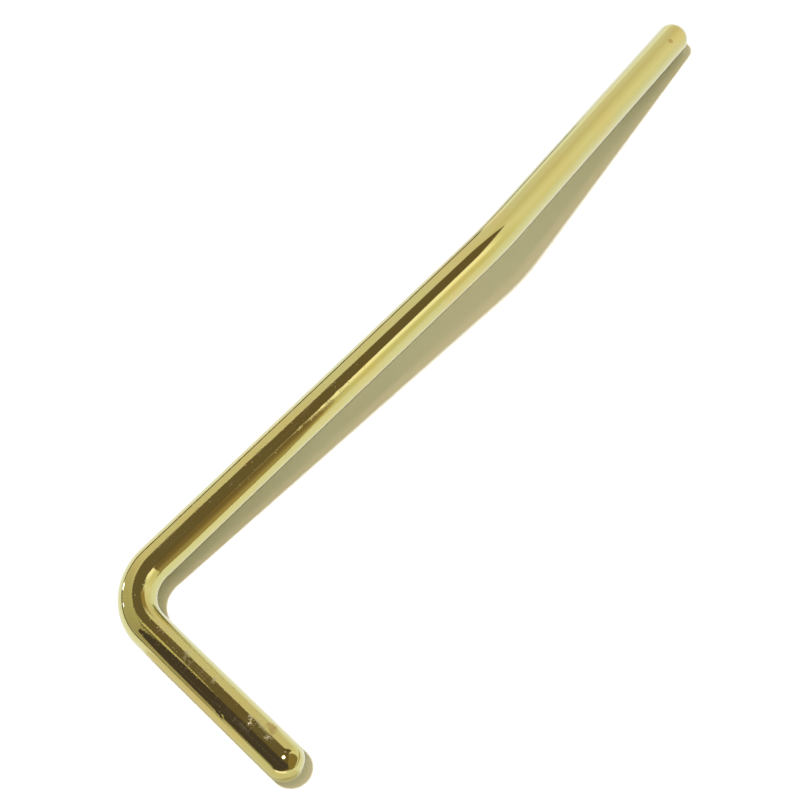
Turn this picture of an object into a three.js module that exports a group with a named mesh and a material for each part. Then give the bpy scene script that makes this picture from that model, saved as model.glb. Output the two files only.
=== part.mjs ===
// Cranked vibrato arm for a guitar bridge: one gold-plated steel rod, domed at both ends.
// A short leg drops into the socket of the bridge, a tight right-angle corner leads into the arm,
// and a gentle crook part way along the arm lowers and turns its tip for the player's hand.
//
// The rod lies as it rests on a table, +Z up. The short leg points along -Y and lies on the table.
// The arm leaves the corner along +X and climbs to the crook, then comes down until its tip
// touches the table too. The origin is the centre of the bounding box's bottom face.

import * as THREE from 'three';
import { mergeVertices } from 'three/addons/utils/BufferGeometryUtils.js';

// Driving dimensions, in millimetres and degrees. Lengths run along the centreline between the
// points where the straight stretches would meet, and stop at the centre of each end dome.
const ROD_DIAMETER = 6;
const SHORT_LEG = 35.75;
const LOWER_ARM = 84.45;
const UPPER_ARM = 63.4;
const CORNER_RADIUS = 7.4;
const CROOK_RADIUS = 43.5;
const ARM_RISE = 4.43;
const CROOK_TURN = 9.07;

// Fineness of the faceted body.
const SIDES = 32;
const DOME_STEPS = 8;
const CORNER_STEPS = 18;
const CROOK_STEPS = 6;

const UP = new THREE.Vector3(0, 0, 1);

// A unit vector from its compass heading (counter-clockwise from +X) and its slope.
function heading(turn, slope) {
  const azimuth = THREE.MathUtils.degToRad(turn);
  return new THREE.Vector3(
    Math.cos(slope) * Math.cos(azimuth),
    Math.cos(slope) * Math.sin(azimuth),
    Math.sin(slope),
  );
}

// The four points that the centreline's straight stretches join, from foot to tip. The fall of
// the upper arm is the one that brings the tip back down to the height of the short leg.
function corners() {
  const rise = THREE.MathUtils.degToRad(ARM_RISE);
  const fall = -Math.asin((LOWER_ARM * Math.sin(rise)) / UPPER_ARM);
  const corner = new THREE.Vector3();
  const foot = corner.clone().addScaledVector(heading(-90, 0), SHORT_LEG);
  const crook = corner.clone().addScaledVector(heading(0, rise), LOWER_ARM);
  const tip = crook.clone().addScaledVector(heading(CROOK_TURN, fall), UPPER_ARM);
  return { foot, corner, crook, tip };
}

// Stations along a round bend of the given radius that joins two straight stretches.
function bend(before, vertex, after, radius, steps) {
  const start = vertex.clone().sub(before).normalize();
  const end = after.clone().sub(vertex).normalize();
  const angle = start.angleTo(end);
  const inward = end.clone().addScaledVector(start, -Math.cos(angle)).normalize();
  const centre = vertex.clone().addScaledVector(start, -radius * Math.tan(angle / 2));
  centre.addScaledVector(inward, radius);
  const stations = [];
  for (let step = 0; step <= steps; step += 1) {
    const t = (angle * step) / steps;
    const point = centre.clone();
    point.addScaledVector(inward, -radius * Math.cos(t));
    point.addScaledVector(start, radius * Math.sin(t));
    const along = start.clone().multiplyScalar(Math.cos(t));
    along.addScaledVector(inward, Math.sin(t));
    stations.push({ point, along });
  }
  return stations;
}

// The whole centreline: dome centre of the foot, corner bend, crook bend, dome centre of the tip.
function centreline() {
  const { foot, corner, crook, tip } = corners();
  const cornerBend = bend(foot, corner, crook, CORNER_RADIUS, CORNER_STEPS);
  const crookBend = bend(corner, crook, tip, CROOK_RADIUS, CROOK_STEPS);
  return [
    { point: foot, along: cornerBend[0].along },
    ...cornerBend,
    ...crookBend,
    { point: tip, along: crookBend.at(-1).along },
  ];
}

// Straight bar stock with domed ends, standing along +Y, with one ring of vertices for each
// station of the centreline. Its flats, not its edges, are the rod's diameter apart, and one row
// of flats faces -Z.
function barStock(rings) {
  const radius = ROD_DIAMETER / 2 / Math.cos(Math.PI / SIDES);
  const stock = new THREE.CapsuleGeometry(radius, rings - 1, DOME_STEPS, SIDES, rings - 1);
  stock.rotateY(Math.PI / SIDES);
  stock.deleteAttribute('normal');
  stock.deleteAttribute('uv');
  return mergeVertices(stock, 1e-4);
}

// Moves every vertex of the stock from its place beside ring k to the same place beside station k.
// The vertices of a dome stay as far beyond the end ring as they were.
function bendToCentreline(stock, stations) {
  const last = stations.length - 1;
  const position = stock.getAttribute('position');
  const vertex = new THREE.Vector3();
  for (let i = 0; i < position.count; i += 1) {
    vertex.fromBufferAttribute(position, i);
    const height = vertex.y + last / 2;
    const ring = THREE.MathUtils.clamp(Math.round(height), 0, last);
    const beyond = Math.min(height, 0) + Math.max(height - last, 0);
    const { point, along } = stations[ring];
    const side = along.clone().cross(UP).normalize();
    const top = side.clone().cross(along);
    const moved = point.clone().addScaledVector(along, beyond);
    moved.addScaledVector(side, vertex.x);
    moved.addScaledVector(top, vertex.z);
    position.setXYZ(i, moved.x, moved.y, moved.z);
  }
  stock.computeVertexNormals();
  stock.computeBoundingBox();
  return stock;
}

function armRod() {
  const stations = centreline();
  const geometry = bendToCentreline(barStock(stations.length), stations);
  const { min, max } = geometry.boundingBox;
  const gold = new THREE.MeshStandardMaterial({ color: 0xc8bc76, roughness: 0.1, metalness: 1 });
  const rod = new THREE.Mesh(geometry, gold);
  rod.name = 'arm_rod';
  rod.position.set(-(min.x + max.x) / 2, -(min.y + max.y) / 2, -min.z);
  return rod;
}

const vibratoArm = new THREE.Group();
vibratoArm.name = 'vibrato_arm';
vibratoArm.add(armRod());

export default vibratoArm;
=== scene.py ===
"""A gold-plated vibrato arm lying on a pale table.

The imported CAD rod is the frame. A finely swept rod with the wear of a used arm stands in for it.
Two soft lamps light the table and cast the shadow. The polished rod shows hardly anything but
reflections, so the studio also has patches of background, cards and small lamps that only show in
it. They stand for the room in the photograph and suit the camera's view best.
Units are metres. Directions to things in the studio are (azimuth, elevation) in degrees, with
azimuth counter-clockwise from +X.
"""
import math

import bpy
import numpy as np
from mathutils import Matrix, Vector


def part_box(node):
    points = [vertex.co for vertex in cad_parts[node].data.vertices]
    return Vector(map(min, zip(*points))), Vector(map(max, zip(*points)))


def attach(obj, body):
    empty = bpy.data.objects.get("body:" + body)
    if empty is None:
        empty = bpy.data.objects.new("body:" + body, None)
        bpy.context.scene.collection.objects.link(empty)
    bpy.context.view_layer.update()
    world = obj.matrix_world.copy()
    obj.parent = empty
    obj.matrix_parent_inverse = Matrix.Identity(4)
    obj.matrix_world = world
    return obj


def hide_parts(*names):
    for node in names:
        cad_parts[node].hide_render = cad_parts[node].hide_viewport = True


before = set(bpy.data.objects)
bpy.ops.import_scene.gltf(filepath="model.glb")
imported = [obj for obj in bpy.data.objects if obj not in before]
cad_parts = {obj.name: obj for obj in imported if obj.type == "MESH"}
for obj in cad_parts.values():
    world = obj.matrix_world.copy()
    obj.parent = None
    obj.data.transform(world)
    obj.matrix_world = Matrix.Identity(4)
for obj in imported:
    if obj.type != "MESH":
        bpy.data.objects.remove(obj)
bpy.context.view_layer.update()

# The rod's driving dimensions, the same as the CAD part's.
ROD_RADIUS = 0.003
SHORT_LEG = 0.03575
LOWER_ARM = 0.08445
UPPER_ARM = 0.0634
CORNER_RADIUS = 0.0074
CROOK_RADIUS = 0.0435
ARM_RISE = math.radians(4.43)
CROOK_TURN = math.radians(9.07)

# Fineness of the swept mesh.
SIDES = 128
DOME_RINGS = 40
FINE_STEP = 0.0002
COARSE_STEP = 0.0005

# Small dents: length along the rod, angle around it from the top, half length and half width along
# and around, and depth. Lengths are in millimetres and angles in degrees.
DENTS = [
    (3.6, 33, 0.85, 0.95, 0.130),
    (2.9, 4, 0.40, 0.45, 0.060),
    (6.2, -3, 0.40, 0.40, 0.060),
    (6.9, 8, 0.50, 0.35, 0.045),
    (10.2, -41, 0.35, 0.35, 0.070),
    (11.0, -38, 0.35, 0.35, 0.060),
    (-0.9, 62, 0.55, 0.5, 0.090),
    (33.6, 5, 0.35, 0.35, 0.012),
    (70.5, 34, 0.7, 0.3, 0.010),
    (75.5, 32, 0.8, 0.3, 0.012),
    (78.5, 33, 0.9, 0.35, 0.014),
    (85.0, 62, 0.6, 0.8, 0.006),
    (104.0, 14, 0.35, 1.0, 0.006),
    (176.5, 23, 0.8, 0.6, 0.030),
]

# Camera: where its axis meets the table, from the box's centre, and how it looks there.
AIM = Vector((-0.0183, 0.0070, 0.0))
CAMERA_DISTANCE = 0.22848
CAMERA_HEADING = math.radians(45.81)
CAMERA_PITCH = math.radians(58.83)
CAMERA_ROLL = math.radians(-2.64)
CAMERA_LENS = 62.757
CAMERA_SENSOR = 36.0

# Half the width of the square table, and the number of sides that a round lamp has.
TABLE_REACH = 3.0
LAMP_SIDES = 24
# Sides of the half ellipse at the end of a rounded card.
STRIP_END_SIDES = 12

UP = np.array([0.0, 0.0, 1.0])


def unit(vector):
    vector = np.asarray(vector, float)
    return vector / np.linalg.norm(vector)


def toward(azimuth, elevation):
    """The unit vector of a direction given in degrees."""
    a, e = math.radians(azimuth), math.radians(elevation)
    return np.array([math.cos(e) * math.cos(a), math.cos(e) * math.sin(a), math.sin(e)])


# ---------------------------------------------------------------- the rod


def rod_corners():
    """Foot dome centre, corner, crook and tip dome centre, with the corner at the origin."""
    fall = -math.asin(LOWER_ARM * math.sin(ARM_RISE) / UPPER_ARM)
    corner = np.zeros(3)
    foot = corner + SHORT_LEG * toward(-90, 0)
    crook = corner + LOWER_ARM * toward(0, math.degrees(ARM_RISE))
    tip = crook + UPPER_ARM * toward(math.degrees(CROOK_TURN), math.degrees(fall))
    return foot, corner, crook, tip


def stretch(start, end, step):
    """Stations along a straight stretch, its two ends included."""
    count = max(2, math.ceil(np.linalg.norm(end - start) / step) + 1)
    along = unit(end - start)
    return [(start + (end - start) * t, along) for t in np.linspace(0, 1, count)]


def bend(before, vertex, after, radius, step):
    """Stations along the round bend that joins two straight stretches."""
    start, end = unit(vertex - before), unit(after - vertex)
    angle = math.acos(float(np.clip(start @ end, -1, 1)))
    inward = unit(end - start * math.cos(angle))
    centre = vertex - start * radius * math.tan(angle / 2) + inward * radius
    count = math.ceil(radius * angle / step) + 1
    return [
        (
            centre - inward * radius * math.cos(t) + start * radius * math.sin(t),
            start * math.cos(t) + inward * math.sin(t),
        )
        for t in np.linspace(0, angle, count)
    ]


def centreline():
    """Points and directions along the rod from dome centre to dome centre."""
    foot, corner, crook, tip = rod_corners()
    corner_bend = bend(foot, corner, crook, CORNER_RADIUS, FINE_STEP)
    crook_bend = bend(corner, crook, tip, CROOK_RADIUS, COARSE_STEP)
    stations = stretch(foot, corner_bend[0][0], FINE_STEP)[:-1]
    stations += corner_bend
    stations += stretch(corner_bend[-1][0], crook_bend[0][0], COARSE_STEP)[1:-1]
    stations += crook_bend
    stations += stretch(crook_bend[-1][0], tip, COARSE_STEP)[1:]
    points = np.array([p for p, _ in stations])
    along = np.array([d for _, d in stations])
    return points, along


def dent_depth(length, angle, across):
    """How deep the dents go at a place, where across is the rod's local radius in metres."""
    depth = np.zeros_like(angle)
    for dent_length, dent_angle, half_length, half_width, deepest in DENTS:
        along = (length - dent_length / 1000) / (half_length / 1000)
        turn = (angle - math.radians(dent_angle) + math.pi) % (2 * math.pi) - math.pi
        around = turn * across / (half_width / 1000)
        depth += deepest / 1000 * np.clip(1 - along**2 - around**2, 0, 1) ** 2
    return depth


def rod_surface():
    """Vertices and faces of the swept rod with domed ends, and each face corner's place on it."""
    points, along = centreline()
    run = np.r_[0, np.cumsum(np.linalg.norm(np.diff(points, axis=0), axis=1))]
    side = np.cross(along, UP)
    side /= np.linalg.norm(side, axis=1, keepdims=True)
    top = np.cross(side, along)
    turns = -math.pi + np.arange(SIDES + 1) * 2 * math.pi / SIDES
    last = len(points) - 1
    dome = np.linspace(0, math.pi / 2, DOME_RINGS + 1)[1:-1]
    rings = [(0, -t) for t in dome[::-1]]
    rings += [(i, 0.0) for i in range(last + 1)]
    rings += [(last, t) for t in dome]
    lengths = [run[i] + ROD_RADIUS * t for i, t in rings]
    vertices = []
    for (i, t), length in zip(rings, lengths):
        angle = turns[:-1]
        out = np.outer(np.cos(angle), top[i]) + np.outer(np.sin(angle), side[i])
        normal = math.cos(t) * out + math.sin(t) * along[i]
        reach = ROD_RADIUS - dent_depth(length, angle, ROD_RADIUS * math.cos(t))
        vertices.append(points[i] + reach[:, None] * normal)
    poles = [points[0] - ROD_RADIUS * along[0], points[-1] + ROD_RADIUS * along[-1]]
    vertices = np.vstack(vertices + [poles])
    foot_pole, tip_pole = len(vertices) - 2, len(vertices) - 1
    around = turns * ROD_RADIUS
    middle = (around[1:] + around[:-1]) / 2
    end = ROD_RADIUS * math.pi / 2
    faces, places = [], []
    for r in range(len(rings) - 1):
        here, there = lengths[r], lengths[r + 1]
        for k in range(SIDES):
            a, b = r * SIDES + k, r * SIDES + (k + 1) % SIDES
            faces.append((a, b, b + SIDES, a + SIDES))
            one, other = around[k], around[k + 1]
            places += [(here, one), (here, other), (there, other), (there, one)]
    first = (len(rings) - 1) * SIDES
    for k in range(SIDES):
        n = (k + 1) % SIDES
        faces.append((foot_pole, n, k))
        places += [(-end, middle[k]), (lengths[0], around[k + 1]), (lengths[0], around[k])]
        faces.append((tip_pole, first + k, first + n))
        places += [(run[-1] + end, middle[k]), (lengths[-1], around[k]), (lengths[-1], around[k + 1])]
    return vertices, faces, places


def settle(vertices, low, high):
    """Shifts the vertices so that their box has the CAD box's centre and base."""
    middle = (vertices.min(0) + vertices.max(0)) / 2
    target = (np.array(low) + np.array(high)) / 2
    shift = target - middle
    shift[2] = low[2] - vertices[:, 2].min()
    return vertices + shift


def make_rod():
    vertices, faces, places = rod_surface()
    vertices = settle(vertices, *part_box("arm_rod"))
    mesh = bpy.data.meshes.new("plated_rod")
    mesh.from_pydata(vertices.tolist(), [], faces)
    mesh.polygons.foreach_set("use_smooth", [True] * len(mesh.polygons))
    mesh.uv_layers.new(name="along_and_around").data.foreach_set("uv", np.ravel(places))
    mesh.update()
    rod = bpy.data.objects.new("plated_rod", mesh)
    bpy.context.scene.collection.objects.link(rod)
    rod.data.materials.append(gold_plate())
    return rod


# ---------------------------------------------------------------- node graphs


class Graph:
    """A thin wrapper that makes nodes and links them in one call."""

    def __init__(self, tree):
        self.tree = tree
        tree.nodes.clear()

    def add(self, kind, inputs=None, output=0, **settings):
        node = self.tree.nodes.new(kind)
        for name, value in settings.items():
            setattr(node, name, value)
        for name, value in (inputs or {}).items():
            if isinstance(value, bpy.types.NodeSocket):
                self.tree.links.new(value, node.inputs[name])
            else:
                node.inputs[name].default_value = value
        return node.outputs[output] if len(node.outputs) else node

    def math(self, operation, a, b=0.0):
        return self.add("ShaderNodeMath", {0: a, 1: b}, operation=operation)

    def blend(self, amount, below, above):
        """A colour that goes from below to above as amount goes from 0 to 1."""
        return self.add(
            "ShaderNodeMix",
            {"Factor": amount, "A": below, "B": above},
            output="Result",
            data_type="RGBA",
        )

    def ramp(self, value, start, end, low=0.0, high=1.0):
        """A smooth step from low to high as value goes from start to end."""
        return self.add(
            "ShaderNodeMapRange",
            {"Value": value, "From Min": start, "From Max": end, "To Min": low, "To Max": high},
            interpolation_type="SMOOTHSTEP",
        )


# ---------------------------------------------------------------- materials


def noise(g, place, size, detail=2.0, stretch=(1.0, 1.0, 1.0)):
    """Noise from 0 to 1 with features of the given size in metres, longer where stretch is more."""
    scale = tuple(1 / (size * s) for s in stretch)
    place = g.add("ShaderNodeVectorMath", {0: place, 1: scale}, operation="MULTIPLY")
    return g.add("ShaderNodeTexNoise", {"Vector": place, "Scale": 1.0, "Detail": detail, "Roughness": 0.5})


def hairlines(g, place, size, stretch, width):
    """1 on thin lines, the contours of a noise that is stretched the way the lines run."""
    value = noise(g, place, size, 1.0, stretch)
    off = g.math("ABSOLUTE", g.math("SUBTRACT", value, 0.5))
    return g.ramp(off, width, 0.0)


def pits(g, place, spacing, radius, share):
    """1 at the middle of small round spots in that share of the cells, with 0 between them."""
    cells = g.add("ShaderNodeTexVoronoi", {"Vector": place, "Scale": 1 / spacing}, "Distance")
    pick = g.add("ShaderNodeSeparateColor", {0: cells.node.outputs["Color"]}, "Red")
    chosen = g.math("LESS_THAN", pick, share)
    return g.math("MULTIPLY", g.ramp(cells, radius / spacing, 0.0), chosen)


def zone(g, along, start, end, fade):
    """1 between two lengths along the rod, fading out over the given length at both ends."""
    return g.math("MULTIPLY", g.ramp(along, start - fade, start), g.ramp(along, end + fade, end))


def gold_plate():
    """Polished gold plate that has been used: hairlines, pits, smudges and rubbed patches."""
    material = bpy.data.materials.new("gold_plate")
    material.use_nodes = True
    g = Graph(material.node_tree)
    place = g.add("ShaderNodeTexCoord", output="Object")
    unrolled = g.add("ShaderNodeTexCoord", output="UV")
    parts = g.add("ShaderNodeSeparateXYZ", {0: unrolled}, output="X").node.outputs
    along, around = parts["X"], parts["Y"]

    # Where the plate is rubbed: the leg, which turns in its socket, and the arm's upper face.
    leg = zone(g, along, 0.003, 0.027, 0.003)
    arm = g.math("MULTIPLY", zone(g, along, 0.042, 0.086, 0.006), g.ramp(around, 0.0020, 0.0010))
    upward = g.math("MULTIPLY", g.ramp(around, -0.0030, -0.0006), g.ramp(around, 0.0026, 0.0008))
    patchy = g.ramp(noise(g, place, 0.0045, 3.0), 0.44, 0.62)
    rubbed = g.math("MULTIPLY", g.math("ADD", leg, g.math("MULTIPLY", arm, 0.6)), upward)
    rubbed = g.math("MULTIPLY", rubbed, patchy)

    # Fine marks.
    length_lines = hairlines(g, unrolled, 0.0011, (14.0, 1.0, 1.0), 0.030)
    turning_lines = g.math("MULTIPLY", hairlines(g, unrolled, 0.0021, (1.0, 7.0, 1.0), 0.014), leg)
    grainy_leg = zone(g, along, 0.009, 0.036, 0.004)
    grainy_arm = zone(g, along, 0.048, 0.082, 0.010)
    grainy = g.math("MULTIPLY", g.math("MAXIMUM", grainy_leg, grainy_arm), upward)
    spots = g.math("MULTIPLY", pits(g, place, 0.00052, 0.00014, 0.38), g.math("MAXIMUM", rubbed, grainy))
    stray = pits(g, place, 0.0024, 0.00022, 0.05)
    smudge = noise(g, place, 0.0090, 4.0)
    lines = g.math("MAXIMUM", length_lines, turning_lines)
    scratch = g.math("MULTIPLY", lines, g.math("ADD", rubbed, 0.12))
    # Three long scratches: where each starts and ends along the rod, and its place around it.
    for start, end, beside in (
        (-0.001, 0.0078, -0.0013),
        (0.0125, 0.0190, -0.0016),
        (0.0640, 0.0700, 0.0009),
    ):
        off = g.math("ABSOLUTE", g.math("SUBTRACT", around, beside))
        line = g.math("MULTIPLY", g.ramp(off, 0.00007, 0.00002), zone(g, along, start, end, 0.001))
        scratch = g.math("MAXIMUM", scratch, g.math("MULTIPLY", line, 0.8))

    # Ragged pale scuffs at the foot: centre along and around the rod, half length and half width.
    scuffs = None
    for centre, half_length, half_width in (
        ((0.0030, 0.0003), 0.0004, 0.0004),
        ((0.0063, -0.0001), 0.0003, 0.0004),
        ((0.0070, 0.0006), 0.0004, 0.0003),
    ):
        offset = g.add("ShaderNodeVectorMath", {0: unrolled, 1: (*centre, 0.0)}, operation="SUBTRACT")
        shape = (1 / half_length, 1 / half_width, 0.0)
        offset = g.add("ShaderNodeVectorMath", {0: offset, 1: shape}, operation="MULTIPLY")
        away = g.add("ShaderNodeVectorMath", {0: offset}, output="Value", operation="LENGTH")
        ragged = g.math("ADD", away, g.ramp(noise(g, place, 0.0006, 3.0), 0.25, 0.75, -0.6, 0.6))
        spot = g.ramp(ragged, 1.0, 0.6)
        scuffs = spot if scuffs is None else g.math("MAXIMUM", scuffs, spot)

    # Colour: warmer and paler areas of the plate, paler marks and scuffs, and a stain at each end.
    tint = g.ramp(noise(g, place, 0.0130, 3.0), 0.40, 0.66)
    colour = g.blend(tint, (0.625, 0.560, 0.180, 1), (0.655, 0.535, 0.155, 1))
    faded = g.math("MULTIPLY", g.math("MAXIMUM", scratch, spots), 0.5)
    colour = g.blend(faded, colour, (0.66, 0.62, 0.38, 1))
    colour = g.blend(scuffs, colour, (0.74, 0.66, 0.36, 1))
    for centre, size in (((0.0036, 0.0017), 0.00115), ((0.1768, 0.0012), 0.00060)):
        stain = g.add("ShaderNodeVectorMath", {0: unrolled, 1: (*centre, 0.0)}, operation="SUBTRACT")
        stain = g.add("ShaderNodeVectorMath", {0: stain}, output="Value", operation="LENGTH")
        ragged = g.ramp(noise(g, place, 0.0010, 2.0), 0.3, 0.7, -0.25 * size, 0.25 * size)
        stain = g.math("ADD", stain, ragged)
        colour = g.blend(g.ramp(stain, size, 0.5 * size), colour, (0.47, 0.35, 0.095, 1))

    rough = g.math("ADD", g.ramp(smudge, 0.30, 0.72, 0.022, 0.070), g.math("MULTIPLY", rubbed, 0.03))
    rough = g.math("MAXIMUM", rough, g.math("MULTIPLY", scuffs, 0.18))
    rough = g.math("MAXIMUM", rough, g.math("MULTIPLY", g.math("MAXIMUM", scratch, spots), 0.40))

    # Relief in metres: the plate's slight waviness, its fine marks and its pits.
    relief = g.math("MULTIPLY", noise(g, place, 0.0060, 2.0), 1.6e-5)
    for share in (
        g.math("MULTIPLY", noise(g, place, 0.0011, 2.0), 1.4e-6),
        g.math("MULTIPLY", noise(g, unrolled, 0.0004, 2.0, (25.0, 1.0, 1.0)), 4.0e-7),
        g.math("MULTIPLY", g.math("MULTIPLY", noise(g, place, 0.00030, 2.0), grainy), 7.0e-6),
        g.math("MULTIPLY", scratch, -1.6e-6),
        g.math("MULTIPLY", spots, -2.2e-5),
        g.math("MULTIPLY", stray, -3.5e-5),
        g.math("MULTIPLY", g.math("MULTIPLY", scuffs, noise(g, place, 0.0005, 3.0)), 1.2e-4),
    ):
        relief = g.math("ADD", relief, share)
    bump = g.add("ShaderNodeBump", {"Height": relief, "Strength": 1.0, "Distance": 1.0})
    shader = g.add(
        "ShaderNodeBsdfPrincipled",
        {
            "Base Color": colour,
            "Metallic": 1.0,
            "Roughness": rough,
            "Normal": bump,
            "Coat Weight": 1.0,
            "Coat Roughness": 0.03,
            "Coat Normal": bump,
        },
    )
    g.add("ShaderNodeOutputMaterial", {"Surface": shader})
    return material


def table_paper():
    """Pale paper, a little bluer in reflections, that fades to an even glow far from the rod."""
    material = bpy.data.materials.new("table_paper")
    material.use_nodes = True
    g = Graph(material.node_tree)
    glossy = g.add("ShaderNodeLightPath", output="Is Glossy Ray")
    paper = g.blend(glossy, (0.9, 0.9, 0.9, 1), (0.69, 0.75, 0.90, 1))
    shader = g.add(
        "ShaderNodeBsdfPrincipled",
        {"Base Color": paper, "Roughness": 0.9, "Specular IOR Level": 0.1},
    )
    place = g.add("ShaderNodeTexCoord", output="Object")
    away = g.add("ShaderNodeVectorMath", {0: place}, output="Value", operation="LENGTH")
    camera = g.add("ShaderNodeLightPath", output="Is Camera Ray")
    far = g.math("MULTIPLY", g.ramp(away, 0.12, 0.40), g.math("MAXIMUM", glossy, camera))
    even = g.add("ShaderNodeEmission", {"Color": (1.0, 1.03, 1.10, 1), "Strength": 1.0})
    surface = g.add("ShaderNodeMixShader", {0: far, 1: shader, 2: even})
    g.add("ShaderNodeOutputMaterial", {"Surface": surface})
    return material


# ---------------------------------------------------------------- the studio


def light_object(name, data, location, toward_ray):
    """Links a light or card whose local +Z, for a light its back, points along the ray."""
    thing = bpy.data.objects.new(name, data)
    bpy.context.scene.collection.objects.link(thing)
    thing.location = location
    thing.rotation_mode = "QUATERNION"
    thing.rotation_quaternion = Vector((0, 0, 1)).rotation_difference(Vector(toward_ray))
    return thing


def mirror_only(thing):
    """Leaves the thing visible in the gold and nowhere else."""
    thing.visible_camera = False
    thing.visible_diffuse = False
    thing.visible_shadow = False
    thing.visible_transmission = False
    thing.visible_volume_scatter = False


def card_material(name, colour, corners, softness):
    """Glowing paint that fades out within softness of the outline's edges, in metres."""
    material = bpy.data.materials.new(name)
    material.use_nodes = True
    g = Graph(material.node_tree)
    place = g.add("ShaderNodeTexCoord", output="Object")
    inside = None
    for here, there in zip(corners, corners[1:] + corners[:1]):
        along = unit(np.subtract(there, here))
        inward = (-along[1], along[0], 0.0)
        offset = g.add("ShaderNodeVectorMath", {0: place, 1: (*here, 0.0)}, operation="SUBTRACT")
        depth = g.add(
            "ShaderNodeVectorMath", {0: offset, 1: inward}, output="Value", operation="DOT_PRODUCT"
        )
        step = g.ramp(depth, 0.0, softness)
        inside = step if inside is None else g.math("MULTIPLY", inside, step)
    glow = g.add("ShaderNodeEmission", {"Color": (*colour, 1), "Strength": 1.0})
    clear = g.add("ShaderNodeBsdfTransparent")
    surface = g.add("ShaderNodeMixShader", {0: inside, 1: clear, 2: glow})
    g.add("ShaderNodeOutputMaterial", {"Surface": surface})
    return material


def card(name, corners, height, colour, softness):
    """A level card over the table, seen in the gold only. Corners run counter-clockwise from above."""
    mesh = bpy.data.meshes.new(name)
    mesh.from_pydata([(x, y, 0.0) for x, y in corners], [], [tuple(range(len(corners)))])
    thing = light_object(name, mesh, (0, 0, height), (0, 0, 1))
    mesh.materials.append(card_material(name, colour, corners, softness))
    mirror_only(thing)


def rounded_strip(left, right, start, shoulder, rise):
    """Outline of a strip along +Y that ends in half an ellipse, which rises from its shoulder."""
    middle, half = (left + right) / 2, (right - left) / 2
    turns = [math.pi * i / STRIP_END_SIDES for i in range(STRIP_END_SIDES + 1)]
    end = [(middle + half * math.cos(t), shoulder + rise * math.sin(t)) for t in turns]
    return [(left, start), (right, start)] + end


def lamp(name, centre, ray, distance, radius, colour):
    """A small round lamp that shows in the gold only, at a distance along a ray from a centre."""
    turns = [2 * math.pi * i / LAMP_SIDES for i in range(LAMP_SIDES)]
    corners = [(radius * math.cos(t), radius * math.sin(t)) for t in turns]
    mesh = bpy.data.meshes.new(name)
    mesh.from_pydata([(x, y, 0.0) for x, y in corners], [], [tuple(range(LAMP_SIDES))])
    material = bpy.data.materials.new(name)
    material.use_nodes = True
    g = Graph(material.node_tree)
    place = g.add("ShaderNodeTexCoord", output="Object")
    away = g.add("ShaderNodeVectorMath", {0: place}, output="Value", operation="LENGTH")
    glow = g.add("ShaderNodeEmission", {"Color": (*colour, 1), "Strength": 1.0})
    clear = g.add("ShaderNodeBsdfTransparent")
    surface = g.add("ShaderNodeMixShader", {0: g.ramp(away, radius, radius * 0.4), 1: clear, 2: glow})
    g.add("ShaderNodeOutputMaterial", {"Surface": surface})
    mesh.materials.append(material)
    thing = light_object(name, mesh, Vector(centre) + Vector(ray) * distance, ray)
    mirror_only(thing)


def patch(g, direction, corners, softness):
    """1 inside the patch of sky whose corners run counter-clockwise as seen from the table."""
    inside = None
    rays = [toward(*corner) for corner in corners]
    for here, there in zip(rays, rays[1:] + rays[:1]):
        edge = unit(np.cross(here, there))
        depth = g.add(
            "ShaderNodeVectorMath", {0: direction, 1: edge.tolist()}, output="Value", operation="DOT_PRODUCT"
        )
        step = g.ramp(depth, -softness, softness)
        inside = step if inside is None else g.math("MULTIPLY", inside, step)
    return inside


# The room's walls as the gold sees them: azimuth and colour.
WALLS = [
    (-180, (0.45, 0.42, 0.32)),
    (-75, (0.88, 0.85, 0.66)),
    (-45, (0.95, 0.92, 0.76)),
    (-28, (1.03, 1.01, 0.98)),
    (-10, (0.96, 0.92, 0.82)),
    (15, (0.84, 0.80, 0.70)),
    (38, (0.90, 0.87, 0.84)),
    (62, (0.90, 0.90, 0.92)),
    (88, (0.86, 0.82, 0.74)),
    (101, (0.70, 0.65, 0.54)),
    (115, (0.62, 0.59, 0.44)),
    (140, (0.54, 0.50, 0.38)),
    (180, (0.45, 0.42, 0.32)),
]
# Painted shade: the dark line along the far walls, where the paper ends and the room beyond lies in shadow,
# in convex stretches.
HORIZON_SHADE = [
    [(64, 1.5), (86, 4.5), (86, 12.5), (64, 9.5)],
    [(85, 4.5), (104, -2.0), (106, 4.0), (85, 12.5)],
    [(104, -2.0), (161, -2.0), (161, 2.5), (104, 4.0)],
]
PHONE_DARK = (0.19, 0.147, 0.10)
AMBIENT = (0.520, 0.487, 0.285)


def wall_colour(g, parts):
    """The walls' colour in each direction, from the parts of the direction's unit vector."""
    around = g.math("ARCTAN2", parts["Y"], parts["X"])
    share = g.math("MULTIPLY_ADD", around, 0.5 / math.pi)
    share.node.inputs[2].default_value = 0.5  # added last, so that -180 degrees gives 0
    ramp = g.add("ShaderNodeValToRGB", {"Fac": share}).node
    stops = ramp.color_ramp.elements
    while len(stops) < len(WALLS):
        stops.new(0.5)
    for stop, (azimuth, colour) in zip(stops, WALLS):
        stop.position = (azimuth + 180) / 360
        stop.color = (*colour, 1)
    return ramp.outputs["Color"]


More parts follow.
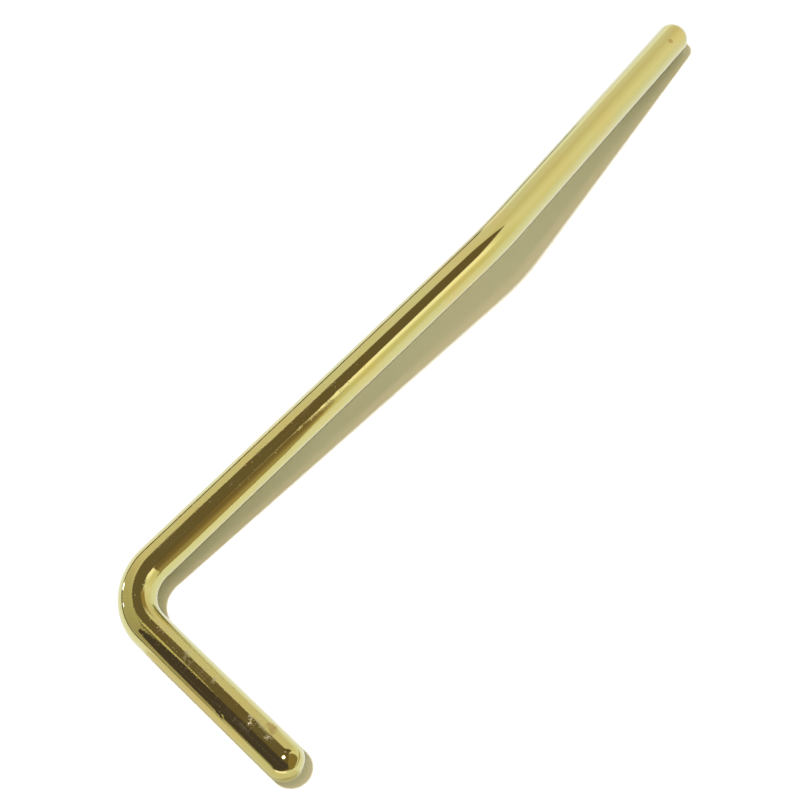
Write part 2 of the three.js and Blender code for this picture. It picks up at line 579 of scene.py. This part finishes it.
def make_world():
    """The room as the gold sees it, an even ambient light, and white behind the table."""
    world = bpy.data.worlds.new("studio")
    bpy.context.scene.world = world
    world.use_nodes = True
    g = Graph(world.node_tree)
    direction = g.add("ShaderNodeTexCoord", output="Generated")
    parts = g.add("ShaderNodeSeparateXYZ", {0: direction}, output="Z").node.outputs
    colour = wall_colour(g, parts)
    window = patch(g, direction, [(36, -4), (66, -4), (64, 13), (36, 18)], 0.06)
    colour = g.blend(window, colour, (1.08, 1.13, 1.22, 1))
    haze = g.ramp(parts["Z"], 0.16, -0.02, 0.0, 0.8)
    colour = g.blend(haze, colour, (1.0, 1.02, 1.08, 1))
    # Painted shade of the shadowed gap beyond the paper's edge.
    for outline in HORIZON_SHADE:
        colour = g.blend(patch(g, direction, outline, 0.012), colour, (0.03, 0.028, 0.015, 1))
    glow = patch(g, direction, [(-90, 33), (-50, 33), (-38, 60), (-90, 62)], 0.16)
    colour = g.blend(glow, colour, (1.42, 1.40, 1.46, 1))
    rim = patch(g, direction, [(-172, 0), (-118, 0), (-118, 9), (-172, 9)], 0.02)
    colour = g.blend(rim, colour, (1.5, 1.45, 1.7, 1))
    person = patch(g, direction, [(-84, 8), (-84, 80), (178, 60), (172, 8)], 0.03)
    colour = g.blend(person, colour, (0.14, 0.10, 0.075, 1))
    body = patch(g, direction, [(-76.5, -8), (-76, 6), (-74.2, 27), (-71, 50), (-92, 50), (-96, -2)], 0.02)
    brown = g.blend(g.ramp(parts["Z"], -0.05, 0.62), (0.56, 0.46, 0.27, 1), (0.25, 0.18, 0.11, 1))
    colour = g.blend(body, colour, brown)
    over = patch(
        g,
        direction,
        [(-12.5, 51), (26.6, 64), (59.5, 65), (90, 62), (145, 51), (-170, 40), (-90, 48.5), (-65, 51.5)],
        0.025,
    )
    colour = g.blend(over, colour, (*PHONE_DARK, 1))
    glossy = g.add("ShaderNodeLightPath", output="Is Glossy Ray")
    seen = g.blend(glossy, (*AMBIENT, 1), colour)
    camera = g.add("ShaderNodeLightPath", output="Is Camera Ray")
    seen = g.blend(camera, seen, (1.0, 1.0, 1.0, 1))
    background = g.add("ShaderNodeBackground", {"Color": seen, "Strength": 1.0})
    g.add("ShaderNodeOutputWorld", {"Surface": background})
    world.cycles.sampling_method = "NONE"


def make_cards():
    """Cards and small lamps over, beside and just above the table, seen in the gold only."""
    card(
        "hand",
        [(-0.079, -0.014), (-0.0345, -0.014), (-0.0345, 0.0355), (-0.060, 0.0385), (-0.079, 0.030)],
        height=0.05,
        colour=(0.195, 0.155, 0.11),
        softness=0.002,
    )
    card(
        "sleeve",
        rounded_strip(-0.120, -0.0757, -0.045, 0.0, 0.0155),
        height=0.016,
        colour=(0.085, 0.07, 0.08),
        softness=0.0006,
    )
    card(
        "wrist",
        [(-0.0702, 0.0078), (-0.0660, 0.0074), (-0.0672, 0.0090), (-0.0694, 0.0100)],
        height=0.0085,
        colour=(0.42, 0.31, 0.15),
        softness=0.0006,
    )
    card(
        "knee",
        [(-0.090, -0.110), (-0.020, -0.110), (-0.018, -0.066), (-0.061, -0.029), (-0.069, -0.024),
         (-0.074, -0.028), (-0.080, -0.045)],
        height=0.010,
        colour=(0.33, 0.25, 0.12),
        softness=0.0008,
    )
    card(
        "knee_fold",
        [(-0.0705, -0.0245), (-0.0640, -0.0245), (-0.0665, -0.0215), (-0.0705, -0.0205)],
        height=0.0099,
        colour=(0.17, 0.13, 0.07),
        softness=0.0005,
    )
    card(
        "cuff_gap",
        [(-0.0860, 0.004), (-0.0785, 0.009), (-0.0780, 0.030), (-0.0880, 0.027)],
        height=0.0501,
        colour=(0.78, 0.73, 0.52),
        softness=0.0008,
    )
    card(
        "table_edge",
        [(-0.058, -0.022), (-0.058, -2.0), (0.45, -2.0), (-0.026, -0.046)],
        height=0.0005,
        colour=(0.54, 0.44, 0.26),
        softness=0.002,
    )
    card(
        "leg_paper",
        [(-0.25, -0.09), (-0.0715, -0.045), (-0.0715, 0.003), (-0.25, 0.06)],
        height=0.0004,
        colour=(0.88, 0.85, 0.74),
        softness=0.001,
    )
    # Painted shadow: a dark card for the contact shadow on the paper beside the leg, seen in the gold only.
    card(
        "leg_contact_shadow",
        [(-0.0795, -0.030), (-0.0715, -0.030), (-0.0715, 0.003), (-0.0795, 0.004)],
        height=0.0006,
        colour=(0.60, 0.56, 0.36),
        softness=0.0025,
    )
    card(
        "edge_line",
        [(-0.345, 0.073), (-0.143, 0.006), (-0.091, 0.084), (-0.150, 0.350), (-0.300, 0.220)],
        height=0.0008,
        colour=(0.14, 0.12, 0.07),
        softness=0.004,
    )
    card(
        "seam",
        [(0.030, 0.062), (0.064, 0.050), (0.108, 0.112), (0.100, 0.190), (0.045, 0.170)],
        height=0.0005,
        colour=(0.34, 0.36, 0.38),
        softness=0.006,
    )
    corner, foot = (-0.073, 0.013, 0.004), (-0.073, -0.023, 0.004)
    lamp("low_lamp_a", corner, toward(126, 10), distance=0.5, radius=0.02, colour=(9, 9, 16))
    lamp("low_lamp_b", corner, toward(111, 6), distance=0.5, radius=0.03, colour=(12, 12, 22))
    lamp("flash_a", foot, toward(-82, 83), distance=0.04, radius=0.0072, colour=(10, 9.5, 12))
    lamp("flash_b", foot, toward(-148, 65), distance=0.04, radius=0.0034, colour=(7, 6.8, 9))


def make_floor():
    r = TABLE_REACH
    mesh = bpy.data.meshes.new("table")
    mesh.from_pydata([(-r, -r, 0), (r, -r, 0), (r, r, 0), (-r, r, 0)], [], [(0, 1, 2, 3)])
    floor = bpy.data.objects.new("table", mesh)
    bpy.context.scene.collection.objects.link(floor)
    mesh.materials.append(table_paper())


def lamp_light(name, ray, distance, size, energy, colour):
    """A round area lamp at a distance along the ray that faces the table's middle."""
    light = bpy.data.lights.new(name, "AREA")
    light.shape = "DISK"
    light.size = size
    light.energy = energy
    light.color = colour
    thing = light_object(name, light, Vector(ray).normalized() * distance, Vector(ray).normalized())
    thing.visible_glossy = False


def make_lights():
    lamp_light(
        "key", (-0.21, 0.209, 0.955), distance=0.9, size=0.08, energy=8.2, colour=(0.91, 0.93, 1.0)
    )
    lamp_light(
        "ceiling", (-0.20, 0.03, 1.0), distance=0.9, size=0.12, energy=0.75, colour=(1.0, 0.55, 0.33)
    )


def make_camera():
    camera = bpy.data.cameras.new("camera")
    camera.sensor_width = CAMERA_SENSOR
    camera.lens = CAMERA_LENS
    camera.clip_start = 0.01
    camera.clip_end = 20
    eye = bpy.data.objects.new("camera", camera)
    bpy.context.scene.collection.objects.link(eye)
    look = Vector(toward(math.degrees(CAMERA_HEADING), -math.degrees(CAMERA_PITCH)))
    eye.location = AIM - look * CAMERA_DISTANCE
    level = look.to_track_quat("-Z", "Y")
    eye.rotation_mode = "QUATERNION"
    eye.rotation_quaternion = level @ Matrix.Rotation(CAMERA_ROLL, 4, "Z").to_quaternion()
    bpy.context.scene.camera = eye


bpy.context.scene.view_settings.view_transform = "Standard"
make_camera()
make_world()
make_cards()
make_floor()
make_lights()
rod = make_rod()
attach(rod, "root")
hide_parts("arm_rod")
